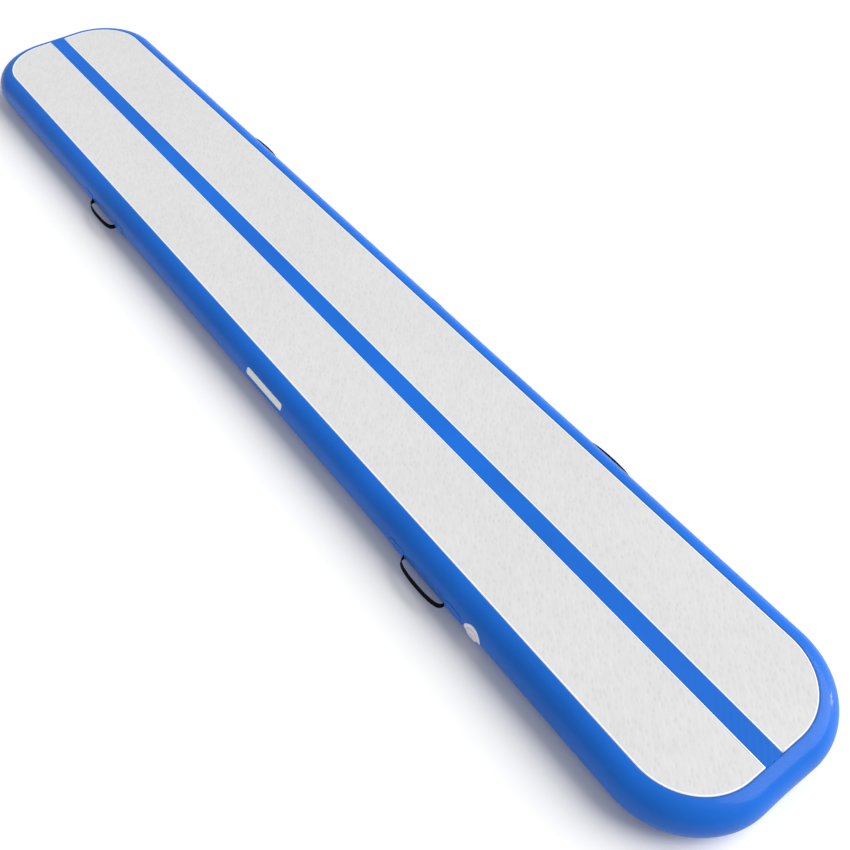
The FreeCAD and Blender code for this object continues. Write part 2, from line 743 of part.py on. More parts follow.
def valve_housing():
    """Flange, barrel, cap recess, throat and seat in one moulding."""
    shell = turned("valve_shell", [
        ("Dims.seat_radius", "Dims.barrel_end"),
        ("Dims.barrel_radius", "Dims.barrel_end"),
        ("Dims.barrel_radius", "-Dims.bond_gap - Dims.flange_depth"),
        ("Dims.flange_radius", "-Dims.bond_gap - Dims.flange_depth"),
        ("Dims.flange_radius", "Dims.flange_face - Dims.flange_bevel"),
        ("Dims.flange_radius - Dims.flange_bevel", "Dims.flange_face"),
        ("Dims.recess_radius", "Dims.flange_face"),
        ("Dims.recess_radius", "Dims.recess_floor"),
        ("Dims.cup_radius", "Dims.recess_floor"),
        ("Dims.cup_radius", SPIDER_TOP),
        ("Dims.throat_radius", SPIDER_TOP),
        ("Dims.throat_radius", SEAT_TOP),
        ("Dims.seat_radius", SEAT_TOP),
    ])
    saddle_radius = f"{WALL_RADIUS} + 2 * Dims.bond_gap + Dims.seat_patch_sheet"
    saddle = wall_cylinder("valve_saddle", saddle_radius)
    keep_barrel = cylinder(
        "valve_barrel_keep", "Dims.barrel_radius", "-Dims.barrel_end + Dims.flange_face",
        V(0, 0, dim("barrel_end")),
    )
    trim = boolean("Cut", "valve_saddle_trim", saddle, keep_barrel)
    saddled = boolean("Cut", "valve_saddled_shell", shell, trim)
    notch = doc.addObject("Part::Box", "leash_notch")
    notch.setExpression("Length", "Dims.leash_width + 2 * Dims.bond_gap")
    notch.setExpression("Width", "Dims.flange_radius")
    notch.setExpression("Height", "Dims.flange_face")
    corner = V(-dim("leash_width") / 2 - dim("bond_gap"), -2 * dim("flange_radius") + 10, dim("recess_floor"))
    notch.Placement = FreeCAD.Placement(corner, FreeCAD.Rotation())
    shaped = boolean("Cut", "valve_notched_shell", saddled, notch)
    return boolean("Fuse", "valve_housing", shaped, spider())


def spider():
    """Three spokes and a hub that guide the valve stem."""
    body = new_body("valve_spider")
    sketch = new_sketch(body, "XY_Plane", SPIDER_LOW)
    add_circle(sketch, "Dims.spider_hub")
    pad(body, sketch, "Dims.spider_sheet")
    spoke = new_sketch(body, "XY_Plane", SPIDER_LOW)
    half, reach = "(Dims.spoke_width / 2)", "(Dims.throat_radius + 1)"
    add_polygon(spoke, [("1", f"-{half}"), (reach, f"-{half}"), (reach, half), ("1", half)])
    arm = pad(body, spoke, "Dims.spider_sheet")
    arms = body.newObject("PartDesign::PolarPattern", "valve_spokes")
    arms.Originals = [arm]
    arms.Axis = (origin_axis(body, "Z_Axis"), [""])
    arms.Angle = 360
    arms.Occurrences = 3
    body.Tip = arms
    bore = new_sketch(body, "XY_Plane", SPIDER_LOW)
    add_circle(bore, "Dims.stem_radius + Dims.stem_play")
    pocket(body, bore, "4 * Dims.spider_sheet")
    return body


def valve_gasket():
    """A rubber ring between the liner's curved inside and the nut's flat face."""
    blank = ring(
        "valve_gasket_blank", "(Dims.barrel_radius + Dims.bond_gap)", "Dims.nut_radius",
        "(Dims.nut_face + Dims.bond_gap)", "Dims.flange_face",
    )
    inside = "Dims.wall_sheet + Dims.liner_sheet + 2 * Dims.bond_gap"
    former = wall_cylinder("valve_gasket_former", f"{WALL_RADIUS} - ({inside})")
    return boolean("Common", "valve_gasket", blank, former)


def valve_nut():
    """The ring nut inside the mat, with six notches for a spanner."""
    body = new_body("valve_back_nut")
    sketch = new_sketch(body, "XY_Plane", "Dims.nut_face - Dims.nut_sheet")
    add_circle(sketch, "Dims.nut_radius")
    add_circle(sketch, "Dims.barrel_radius + Dims.stem_play")
    pad(body, sketch, "Dims.nut_sheet")
    notch = new_sketch(body, "XY_Plane", "Dims.nut_face - Dims.nut_sheet")
    add_polygon(notch, [
        ("Dims.nut_radius - 3", "-3"), ("Dims.nut_radius + 3", "-3"),
        ("Dims.nut_radius + 3", "3"), ("Dims.nut_radius - 3", "3"),
    ])
    cut = pocket(body, notch, "4 * Dims.nut_sheet")
    ring_of_notches = body.newObject("PartDesign::PolarPattern", "nut_notches")
    ring_of_notches.Originals = [cut]
    ring_of_notches.Axis = (origin_axis(body, "Z_Axis"), [""])
    ring_of_notches.Angle = 360
    ring_of_notches.Occurrences = 6
    body.Tip = ring_of_notches
    return body


BUTTON_LOW = "(Dims.button_top - Dims.button_sheet)"
RETAINER_LOW = f"({BUTTON_LOW} - Dims.retainer_sheet)"
POPPET_TOP = "(Dims.barrel_end - Dims.seal_sheet)"
POPPET_LOW = f"({POPPET_TOP} - Dims.poppet_sheet)"


def valve_stem():
    """The stem and its poppet disc."""
    return turned("valve_stem", [
        ("0", POPPET_LOW),
        ("Dims.poppet_radius", POPPET_LOW),
        ("Dims.poppet_radius", POPPET_TOP),
        ("Dims.stem_radius", POPPET_TOP),
        ("Dims.stem_radius", f"{BUTTON_LOW} + Dims.button_sheet / 2"),
        ("0", f"{BUTTON_LOW} + Dims.button_sheet / 2"),
    ])


def push_button():
    return turned("valve_push_button", [
        ("Dims.stem_radius", BUTTON_LOW),
        ("Dims.button_radius", BUTTON_LOW),
        ("Dims.button_radius", "Dims.button_top - 0.6"),
        ("Dims.button_radius - 0.6", "Dims.button_top"),
        ("0", "Dims.button_top"),
        ("0", f"{BUTTON_LOW} + Dims.button_sheet / 2"),
        ("Dims.stem_radius", f"{BUTTON_LOW} + Dims.button_sheet / 2"),
    ])


def spring_retainer():
    return ring(
        "spring_retainer", "(Dims.stem_radius + Dims.stem_play)", "Dims.retainer_radius",
        RETAINER_LOW, BUTTON_LOW,
    )


def poppet_seal():
    return ring("poppet_seal", "Dims.stem_radius * 3", "Dims.poppet_radius", POPPET_TOP, "Dims.barrel_end")


def valve_spring():
    """A coil between the spider and the retainer."""
    helix = doc.addObject("Part::Helix", "valve_spring_line")
    height = f"({RETAINER_LOW} - {SPIDER_TOP} - 2 * Dims.spring_wire)"
    helix.setExpression("Height", height)
    helix.setExpression("Pitch", f"{height} / Dims.spring_turns")
    helix.setExpression("Radius", "Dims.spring_radius")
    helix.Placement = FreeCAD.Placement(V(0, 0, dim("cup_floor") + dim("spring_wire")), FreeCAD.Rotation())
    wire = doc.addObject("Part::Circle", "valve_spring_wire")
    wire.setExpression("Radius", "Dims.spring_wire")
    start = V(dim("spring_radius"), 0, dim("cup_floor") + dim("spring_wire"))
    wire.Placement = FreeCAD.Placement(start, FreeCAD.Rotation(X_AXIS, 90))
    coil = doc.addObject("Part::Sweep", "valve_spring")
    coil.Label = "valve_spring"
    coil.Sections = [wire]
    coil.Spine = (helix, [])
    coil.Solid = True
    coil.Frenet = True
    return coil


def valve_cap():
    """The screw cap: a low disc with a finger bar, a skirt and a seal groove."""
    groove_low = "(Dims.cap_groove_mid - Dims.cap_groove_height / 2)"
    groove_high = "(Dims.cap_groove_mid + Dims.cap_groove_height / 2)"
    groove_radius = "(Dims.cap_skirt_radius - Dims.cap_groove_depth)"
    blank = turned("valve_cap", [
        ("0", "Dims.cap_skirt_end + 2"),
        ("Dims.cap_skirt_bore", "Dims.cap_skirt_end + 2"),
        ("Dims.cap_skirt_bore", "Dims.cap_skirt_end"),
        ("Dims.cap_skirt_radius", "Dims.cap_skirt_end"),
        ("Dims.cap_skirt_radius", groove_low),
        (groove_radius, groove_low),
        (groove_radius, groove_high),
        ("Dims.cap_skirt_radius", groove_high),
        ("Dims.cap_skirt_radius", "Dims.cap_under"),
        ("Dims.cap_radius", "Dims.cap_under"),
        ("Dims.cap_radius", "Dims.cap_top - 0.7"),
        ("Dims.cap_radius - 0.7", "Dims.cap_top"),
        ("0", "Dims.cap_top"),
    ])
    wells = new_sketch(blank, "XY_Plane", "Dims.cap_top")
    reach = dim("cap_grip_radius")
    half = dim("cap_grip_width") / 2
    lean = math.asin(half / reach)
    for turn_round in (0, math.pi):
        side = 1 if turn_round == 0 else -1
        first = wells.GeometryCount
        well = arc(0, 0, reach, turn_round + lean, turn_round + math.pi - lean)
        wells.addGeometry(well)
        wells.addGeometry(Part.LineSegment(well.EndPoint, well.StartPoint))
        wells.addConstraint(Sketcher.Constraint("Coincident", first, 2, first + 1, 1))
        wells.addConstraint(Sketcher.Constraint("Coincident", first + 1, 2, first, 1))
        wells.addConstraint(Sketcher.Constraint("Coincident", first, 3, -1, 1))
        bind(wells, "Radius", first, to="Dims.cap_grip_radius")
        for end in (1, 2):
            fix_point(wells, first, end, None, f"{side} * Dims.cap_grip_width / 2")
    pocket(blank, wells, "2 * (Dims.cap_top - Dims.cap_grip_floor)")
    return blank


def cap_seal():
    """A rubber ring of square section in the cap's groove."""
    return ring(
        "cap_seal", "(Dims.cap_skirt_radius - Dims.cap_groove_depth)",
        "(Dims.cup_radius - Dims.stem_play)",
        "(Dims.cap_groove_mid - Dims.cap_groove_height / 2 + Dims.stem_play)",
        "(Dims.cap_groove_mid + Dims.cap_groove_height / 2 - Dims.stem_play)",
    )


def cap_leash():
    """A flat moulded ring round the cap's skirt with an arm to the flange's edge."""
    body = new_body("cap_leash")
    height = "Dims.recess_floor + Dims.stem_play"
    disc = new_sketch(body, "XY_Plane", height)
    add_circle(disc, "Dims.leash_radius")
    pad(body, disc, "Dims.leash_sheet")
    arm = new_sketch(body, "XY_Plane", height)
    half = "(Dims.leash_width / 2)"
    reach = "-Dims.leash_reach"
    add_polygon(arm, [(f"-{half}", reach), (half, reach), (half, "0"), (f"-{half}", "0")])
    pad(body, arm, "Dims.leash_sheet")
    bore = new_sketch(body, "XY_Plane", height)
    add_circle(bore, "Dims.cap_skirt_radius + Dims.bond_gap")
    pocket(body, bore, "4 * Dims.leash_sheet")
    return body


valve_parts = [
    seat_patch(), valve_housing(), valve_gasket(), valve_nut(), valve_stem(), push_button(),
    spring_retainer(), poppet_seal(), valve_spring(), valve_cap(), cap_seal(), cap_leash(),
]
for piece in valve_parts:
    piece.Placement = valve_placement().multiply(piece.Placement)
    keep(piece)

# -------------------------------------------------------------------- output

doc.recompute()
for item in doc.Objects:
    bad = [state for state in item.State if state in ("Invalid", "Error")]
    if bad:
        raise RuntimeError(f"{item.Label} is {bad}")

for node in nodes:
    if node.Shape.isNull() or not node.Shape.isValid():
        raise RuntimeError(f"{node.Label} has no valid shape")
    node.Shape.exportStep(os.path.join(OUT_FOLDER, f"{node.Label}.step"))
    solids = len(node.Shape.Solids)
    print(f"{node.Label}: {solids} solid(s), {node.Shape.Volume / 1000:.2f} cm3")
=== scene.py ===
"""Air track mat: skins, seams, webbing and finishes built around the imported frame.

Metres, in the CAD frame: +X along the mat, -Y the valve side, +Z up.
"""
import json
import math

import bpy
from mathutils import Matrix, Vector, noise


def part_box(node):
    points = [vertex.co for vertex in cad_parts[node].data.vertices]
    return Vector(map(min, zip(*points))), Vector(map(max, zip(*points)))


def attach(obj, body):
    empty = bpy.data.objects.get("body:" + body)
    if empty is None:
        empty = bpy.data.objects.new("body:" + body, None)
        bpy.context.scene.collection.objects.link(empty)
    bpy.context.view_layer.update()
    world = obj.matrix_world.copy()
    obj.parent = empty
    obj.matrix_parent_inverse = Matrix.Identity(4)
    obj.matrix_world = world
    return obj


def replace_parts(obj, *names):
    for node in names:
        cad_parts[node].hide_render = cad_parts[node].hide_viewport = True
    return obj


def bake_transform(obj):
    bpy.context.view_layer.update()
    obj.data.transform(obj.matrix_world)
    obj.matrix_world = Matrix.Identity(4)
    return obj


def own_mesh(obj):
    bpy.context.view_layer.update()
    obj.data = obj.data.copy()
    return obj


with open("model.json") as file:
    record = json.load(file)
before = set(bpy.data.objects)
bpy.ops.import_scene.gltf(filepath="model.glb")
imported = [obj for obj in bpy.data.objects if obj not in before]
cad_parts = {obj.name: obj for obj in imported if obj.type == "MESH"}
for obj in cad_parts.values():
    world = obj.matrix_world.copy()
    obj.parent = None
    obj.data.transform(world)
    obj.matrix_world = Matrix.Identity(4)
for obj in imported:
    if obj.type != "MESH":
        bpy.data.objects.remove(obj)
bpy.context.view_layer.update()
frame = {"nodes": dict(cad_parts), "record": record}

# ------------------------------------------------------------ sizes from the frame
NODES = frame["nodes"]
WALL_LOW, WALL_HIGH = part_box("outer_side_wall")
SKIN_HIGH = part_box("top_skin")[1]
LINE_LOW, LINE_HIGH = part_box("centre_line_strip")
VALVE_LOW, VALVE_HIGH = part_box("valve_housing")
VALVE_X = (VALVE_LOW.x + VALVE_HIGH.x) / 2
THICK = WALL_HIGH.z
MIDDLE = THICK / 2
FACE_X = SKIN_HIGH.x
FACE_Y = SKIN_HIGH.y
BULGE = WALL_HIGH.y - FACE_Y
ROUND = (MIDDLE ** 2 + BULGE ** 2) / (2 * BULGE)
ROUND_CENTRE = WALL_HIGH.y - ROUND
FACE_CORNER = 0.281
SIDES = {"left": -1, "right": 1}
MM = 0.001

# How far each fitting is turned down round the wall, in degrees.
HANDLE_TILT = 8.6
VALVE_TILT = 6.5
LABEL_TILT = -20.0
# Half the label's height and the radius of the valve's barrel.
LABEL_RISE = 0.019
VALVE_BARREL = 0.020


# ------------------------------------------------------------------------ materials
BLUE = (0.008, 0.135, 0.6)
GREY = (0.655, 0.655, 0.655)

# Noise scales, in repeats per metre: the larger, the finer.
CLOTH_MOTTLE = 2.6
COVER_MOTTLE = 3
CLOTH_SWELL = 7
PLASTIC_MOTTLE = 40
COVER_PATCHES = 34
FLECK_SCALE = 62
STEEL_MOTTLE = 300
CLOTH_GRAIN = 520
COVER_GRAIN = 640
YARN_GRAIN = 900
PLASTIC_GRAIN = 1500

# Heights that the bumps stand for, in metres.
SWELL_DEPTH = 0.0016
FLECK_DEPTH = 0.0008
COVER_GRAIN_DEPTH = 0.00005
PLASTIC_GRAIN_DEPTH = 0.00004

# The embossed fleck: how far it is turned on the cover, in degrees, and stretched.
FLECK_TURN = -52.6
FLECK_STRETCH = (1.0, 0.45, 1.0)

# Webbing ribs: the distance between them and their depth, across and along the strap.
CROSS_RIB = (0.0021, 0.0004)
LONG_RIB = (0.0011, 0.00025)


class Finish:
    """A node material under construction: a Principled shader and shared coordinates."""

    def __init__(self, name, roughness, **sockets):
        self.material = bpy.data.materials.new(name)
        self.material.use_nodes = True
        self.tree = self.material.node_tree
        self.shader = self.tree.nodes["Principled BSDF"]
        self.shader.inputs["Roughness"].default_value = roughness
        for socket, value in sockets.items():
            self.shader.inputs[socket.replace("_", " ")].default_value = value
        self.place = self.node("ShaderNodeTexCoord").outputs["Object"]
        self.normal = None

    def node(self, kind, links=None, values=None, **properties):
        made = self.tree.nodes.new(kind)
        for key, value in properties.items():
            setattr(made, key, value)
        for key, value in (values or {}).items():
            made.inputs[key].default_value = value
        for key, source in (links or {}).items():
            self.tree.links.new(source, made.inputs[key])
        return made

    def turned(self, scale, turn=0.0):
        """Object coordinates turned about Z, in degrees, and then stretched by scale."""
        turned = self.node("ShaderNodeMapping", {"Vector": self.place})
        turned.inputs["Rotation"].default_value[2] = math.radians(turn)
        made = self.node("ShaderNodeMapping", {"Vector": turned.outputs["Vector"]}, {"Scale": scale})
        return made.outputs["Vector"]

    def noise(self, scale, detail=3.0, vector=None):
        made = self.node(
            "ShaderNodeTexNoise", {"Vector": vector or self.place}, {"Scale": scale, "Detail": detail}
        )
        return made.outputs["Fac"]

    def ramp(self, source, stops):
        """Colours along a value: stops are (position, grey or colour)."""
        made = self.node("ShaderNodeValToRGB", {"Fac": source})
        ramp = made.color_ramp
        while len(ramp.elements) < len(stops):
            ramp.elements.new(0.5)
        for element, (position, colour) in zip(ramp.elements, stops):
            element.position = position
            shade = (colour, colour, colour) if isinstance(colour, float) else colour
            element.color = (*shade, 1)
        return made.outputs["Color"]

    def paint(self, source):
        self.tree.links.new(source, self.shader.inputs["Base Color"])

    def mottle(self, colour, scale, amount):
        """The base colour, a little darker and lighter in soft patches."""
        dark = tuple(c * (1 - amount) for c in colour)
        light = tuple(min(1.0, c * (1 + amount)) for c in colour)
        return self.ramp(self.noise(scale), [(0.35, dark), (0.65, light)])

    def multiply(self, first, second, share):
        made = self.node("ShaderNodeMix", data_type="RGBA", blend_type="MULTIPLY")
        made.inputs["Factor"].default_value = share
        self.tree.links.new(first, made.inputs["A"])
        self.tree.links.new(second, made.inputs["B"])
        return made.outputs["Result"]

    def bump(self, height, distance, strength=1.0):
        links = {"Height": height}
        if self.normal is not None:
            links["Normal"] = self.normal
        made = self.node("ShaderNodeBump", links, {"Distance": distance, "Strength": strength})
        self.normal = made.outputs["Normal"]
        self.tree.links.new(self.normal, self.shader.inputs["Normal"])

    def waves(self, pitch, direction):
        """Parallel ridges, pitch metres apart."""
        made = self.node(
            "ShaderNodeTexWave", {"Vector": self.place}, {"Scale": math.pi / (10 * pitch)},
            bands_direction=direction,
        )
        return made.outputs["Fac"]


def coated_cloth(name, colour, roughness, mottle=0.05, grain=0.00006, **sockets):
    """Smooth PVC-coated cloth, with a fine grain and slow swells."""
    made = Finish(name, roughness, **sockets)
    made.paint(made.mottle(colour, CLOTH_MOTTLE, mottle))
    made.bump(made.noise(CLOTH_GRAIN, 2.0), grain, 0.5)
    made.bump(made.noise(CLOTH_SWELL, 2.0), SWELL_DEPTH, 0.25)
    return made.material


def landing_cloth():
    """Light grey coated cloth with an embossed fleck, longer one way than the other."""
    made = Finish("grey_landing_cover", 0.62, Specular_IOR_Level=0.3)
    fleck_place = made.turned(FLECK_STRETCH, FLECK_TURN)
    cells = made.node(
        "ShaderNodeTexVoronoi", {"Vector": fleck_place}, {"Scale": FLECK_SCALE, "Randomness": 0.9}
    ).outputs["Distance"]
    fleck = made.ramp(cells, [(0.0, 0.8), (0.2, 0.93), (0.42, 1.0), (0.7, 1.0)])
    patchy = made.ramp(made.noise(COVER_PATCHES, 4.0, fleck_place), [(0.3, 0.93), (0.7, 1.0)])
    flecked = made.multiply(made.mottle(GREY, COVER_MOTTLE, 0.012), fleck, 0.6)
    made.paint(made.multiply(flecked, patchy, 0.7))
    made.bump(cells, FLECK_DEPTH, 0.5)
    made.bump(made.noise(COVER_GRAIN, 2.0), COVER_GRAIN_DEPTH, 0.5)
    return made.material


def webbing_cloth():
    """Black ribbed webbing."""
    made = Finish("black_webbing", 0.9, Specular_IOR_Level=0.08)
    shades = [(0.3, (0.001, 0.001, 0.0015)), (0.7, (0.005, 0.005, 0.006))]
    made.paint(made.ramp(made.noise(YARN_GRAIN, 2.0), shades))
    for (pitch, depth), direction, strength in ((CROSS_RIB, "Z", 0.8), (LONG_RIB, "X", 0.7)):
        made.bump(made.waves(pitch, direction), depth, strength)
    return made.material


def moulded(name, colour, roughness):
    """Moulded plastic with a fine spark-eroded skin."""
    made = Finish(name, roughness)
    made.paint(made.mottle(colour, PLASTIC_MOTTLE, 0.03))
    made.bump(made.noise(PLASTIC_GRAIN, 2.0), PLASTIC_GRAIN_DEPTH, 0.5)
    return made.material


def spring_steel():
    made = Finish("spring_steel", 0.3, Metallic=1.0)
    made.paint(made.mottle((0.55, 0.55, 0.56), STEEL_MOTTLE, 0.08))
    return made.material


FINISHES = {
    "blue_pvc": coated_cloth(
        "blue_pvc", BLUE, 0.42, 0.06, Specular_IOR_Level=0.12, Coat_Weight=0.14, Coat_Roughness=0.1
    ),
    "grey_landing_cover": landing_cloth(),
    "blue_underside": coated_cloth("blue_underside", (0.03, 0.145, 0.6), 0.55, 0.06, 0.0001),
    "drop_stitch_cloth": coated_cloth("drop_stitch_cloth", (0.76, 0.75, 0.71), 0.85, 0.04, 0.0003),
    "clear_pvc_liner": coated_cloth("clear_pvc_liner", (0.5, 0.55, 0.62), 0.45),
    "white_label": coated_cloth("white_label", (0.86, 0.86, 0.87), 0.3, 0.02, 0.00002),
    "pale_valve_patch": coated_cloth("pale_valve_patch", (0.88, 0.85, 0.95), 0.45, 0.03),
    "valve_plastic": moulded("valve_plastic", (0.82, 0.8, 0.88), 0.4),
    "valve_button": moulded("valve_button", (0.12, 0.13, 0.14), 0.35),
    "valve_cap_plastic": moulded("valve_cap_plastic", (0.86, 0.84, 0.91), 0.38),
    "valve_rubber": moulded("valve_rubber", (0.02, 0.02, 0.02), 0.7),
    "spring_steel": spring_steel(),
    "black_webbing": webbing_cloth(),
    "seam_bead": coated_cloth("seam_bead", (0.8, 0.86, 0.9), 0.4, 0.01, 0.00002),
    "dark_seam": coated_cloth("dark_seam", (0.012, 0.06, 0.34), 0.4, 0.05),
}


def finish_frame_nodes():
    """Gives every carried-over CAD node the finish its record slot names."""
    for row in frame["record"]["subparts"]:
        item = NODES[row["node"]]
        item.data.materials.clear()
        item.data.materials.append(FINISHES[row["material_slot"]])


# ------------------------------------------------------------------- mesh helpers
def add_piece(name, points, faces, finish):
    """A smooth mesh object in one finish."""
    mesh = bpy.data.meshes.new(name)
    mesh.from_pydata([tuple(p) for p in points], [], faces)
    mesh.validate()
    mesh.materials.append(FINISHES[finish])
    mesh.polygons.foreach_set("use_smooth", [True] * len(mesh.polygons))
    piece = bpy.data.objects.new(name, mesh)
    bpy.context.scene.collection.objects.link(piece)
    return piece


def thicken(piece, thickness, offset=-1.0):
    """Gives a sheet its thickness, on the back of its faces unless offset says."""
    solid = piece.modifiers.new("thickness", "SOLIDIFY")
    solid.thickness = thickness
    solid.offset = offset
    return piece


def declare_sheet(piece, thickness):
    """Gives the piece this thickness, on the back of its faces."""
    thicken(piece, thickness)
    return piece


def grid_faces(rows, columns, closed=False):
    """Quads between rows of points; closed joins the last row to the first."""
    faces = []
    for i in range(rows if closed else rows - 1):
        here, after = i * columns, ((i + 1) % rows) * columns
        faces += [(here + j, after + j, after + j + 1, here + j + 1) for j in range(columns - 1)]
    return faces


def spread(low, high, step):
    """Evenly spaced values from low to high, no further apart than step."""
    count = max(2, math.ceil(abs(high - low) / step) + 1)
    return [low + (high - low) * i / (count - 1) for i in range(count)]


def soft_step(value, start, end):
    """0 up to start and 1 from end, with a smooth rise between."""
    t = min(1.0, max(0.0, (value - start) / (end - start)))
    return t * t * (3 - 2 * t)


def wall_point(x, side, angle, lift):
    """A point over the long wall: angle below its widest line, lift off its face."""
    reach = ROUND + lift
    return Vector((x, side * (ROUND_CENTRE + reach * math.cos(angle)), MIDDLE - reach * math.sin(angle)))


def heading(turn):
    """The level direction at this turn from +X."""
    return Vector((math.cos(turn), math.sin(turn), 0))


def outline(inset, step):
    """(point, outward direction) all the way round the face's rounded outline."""
    half_x, half_y, bend = FACE_X - inset, FACE_Y - inset, FACE_CORNER - inset
    mid_x, mid_y = half_x - bend, half_y - bend
    found = []
    for quarter, (sx, sy) in enumerate(((1, 1), (-1, 1), (-1, -1), (1, -1))):
        centre = Vector((sx * mid_x, sy * mid_y, 0))
        for turn in spread(0, math.pi / 2, step / max(bend, step))[:-1]:
            way = heading(turn + quarter * math.pi / 2)
            found.append((centre + bend * way, way))
        way = heading((quarter + 1) * math.pi / 2)
        run = 2 * (mid_x if quarter % 2 == 0 else mid_y)
        along = Vector((-way.y, way.x, 0))
        found += [(centre + bend * way + along * d, way) for d in spread(0, run, step)[:-1]]
    return found


# ---------------------------------------------------------------------- side wall
WALL_CLOTH = 0.9 * MM
LINER_CLOTH = 0.7 * MM
LINER_DEPTH = 1.1 * MM
WALL_STEP = 0.012
TURN_STEP = 5.2
VALVE_CLEAR = 1.5 * MM
LAP_WIDTH = 0.006
LAP_HEIGHT = 0.0006

# How far the wall draws in: at the middle of each end, in slow ripples, and in puckers at the seams.
END_PULL = 0.004
END_PULL_REACH = 0.24
RIPPLE = 0.0012
RIPPLE_SCALE = 5
RIPPLE_TURN_SCALE = 1.4
PUCKER = 0.0011
PUCKER_SCALE = 42
PUCKER_TURN_SCALE = 1.1

# Fittings keep the wall still this far past their ends, and it livens over this much more.
QUIET_MARGIN = 0.03
QUIET_FADE = 0.12
FITTINGS = ("valve_seat_patch", "blank_label", "wall_joint_patch")


def quiet_places():
    """Where the wall carries fittings, so that it stays exactly on the CAD's face."""
    found = []
    for node in NODES:
        if node.endswith("handle_patches") or node in FITTINGS:
            low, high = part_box(node)
            found.append((low.x - QUIET_MARGIN, high.x + QUIET_MARGIN, 1 if low.y > 0 else -1))
    return found


def liveliness(point, places):
    """1 on the open wall, falling to 0 where a fitting lies on it."""
    amount = 1.0
    for low, high, side in places:
        if point.y * side > 0:
            inside = min(point.x - low, high - point.x)
            amount = min(amount, 1 - soft_step(inside, -QUIET_FADE, 0.0))
    return amount


def wall_noise(here, turn, scale, turn_scale):
    return noise.noise(Vector((here.x * scale, here.y * scale, turn * turn_scale)))


def wall_cloth(name, depth, thickness, node, finish):
    """A cloth all the way round the mat, depth inside its outer face."""
    places = quiet_places()
    edge = math.asin(MIDDLE / ROUND)
    turns = spread(edge, -edge, math.radians(TURN_STEP))
    lap = LAP_HEIGHT if depth == 0 else 0.0
    reach = ROUND - depth
    points = []
    stations = outline(0, WALL_STEP)
    for point, way in stations:
        lively = liveliness(point, places)
        bend = soft_step(min(abs(way.x), abs(way.y)), 0.05, 0.5)
        end_share = soft_step(abs(way.x), 0.8, 1.0) * (1 - soft_step(abs(point.y), 0.0, END_PULL_REACH))
        if lap:
            points.append(point - LAP_WIDTH * way + Vector((0, 0, THICK + lap)))
        for turn in turns:
            lean = math.cos(turn)
            here = point + (ROUND * lean - (ROUND - BULGE)) * way
            wave = wall_noise(here, turn, RIPPLE_SCALE, RIPPLE_TURN_SCALE)
            crease = wall_noise(here, turn, PUCKER_SCALE, PUCKER_TURN_SCALE)
            near_seam = (1 - lean) ** 2
            shift = -END_PULL * end_share * lean
            shift -= RIPPLE * lively * lean * (0.5 + 0.5 * wave)
            shift -= PUCKER * lively * (0.35 + bend) * near_seam * lean * 4 * (0.5 + 0.5 * crease)
            lift = lap if turn == turns[0] else 0.0
            level = MIDDLE + reach * math.sin(turn) + lift
            points.append(here + (shift - depth * lean) * way + Vector((0, 0, level)))
    columns = len(turns) + (1 if lap else 0)
    faces = grid_faces(len(stations), columns, closed=True)
    valve = Vector((VALVE_X, WALL_LOW.y, (VALVE_LOW.z + VALVE_HIGH.z) / 2))
    clear = VALVE_BARREL + VALVE_CLEAR
    kept = [f for f in faces if all((points[i] - valve).length > clear for i in f)]
    wall = add_piece(name, points, [tuple(reversed(f)) for f in kept], finish)
    declare_sheet(wall, thickness)
    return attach(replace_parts(wall, node), "mat")


def side_wall():
    """The blue outer cloth, and the liner close behind it with the same swells."""
    wall_cloth(
        "side_wall_cloth", 0.0, WALL_CLOTH, "outer_side_wall", "blue_pvc"
    )
    wall_cloth(
        "inner_wall_cloth", LINER_DEPTH, LINER_CLOTH, "inner_wall_liner", "clear_pvc_liner",
    )


# ------------------------------------------------------------------ face coverings
FACE_INSET = 0.0006
COVER_CLOTH = 0.5 * MM
COVER_COLUMNS = 44
STATION_STEP = 0.010
CORNER_STEP = 0.03
QUILT = 0.0003
QUILT_PITCH = 0.034
QUILT_DRIFT = 6
# The line lies this much over the landing covers, and the bottom cover this much off the floor.
LINE_LIFT = 0.0003
BOTTOM_LIFT = 0.0006


def edge_reach(x):
    """Half the covers' width at x, between the rounded corners."""
    bend = FACE_CORNER - FACE_INSET
    past = abs(x) - (FACE_X - FACE_INSET - bend)
    drop = bend - math.sqrt(max(0.0, bend ** 2 - past ** 2)) if past > 0 else 0.0
    return FACE_Y - FACE_INSET - drop


def stations_along():
    """Places along X, closer together round the corners."""
    straight = FACE_X - FACE_CORNER
    middle = spread(-straight, straight, STATION_STEP)
    bend = FACE_CORNER - FACE_INSET
    corner = [straight + bend * math.sin(t) for t in spread(0, math.pi / 2, CORNER_STEP)[1:]]
    return [-x for x in reversed(corner)] + middle + corner


def quilt_height(x, y):
    """A faint quilted swell, as the yarns pull the skin in between them."""
    swell = math.cos(math.tau * x / QUILT_PITCH) * math.cos(math.tau * y / QUILT_PITCH)
    drift = noise.noise(Vector((x * QUILT_DRIFT, y * QUILT_DRIFT, 0)))
    return QUILT * (0.5 + 0.5 * swell) + QUILT * (0.5 + 0.5 * drift)


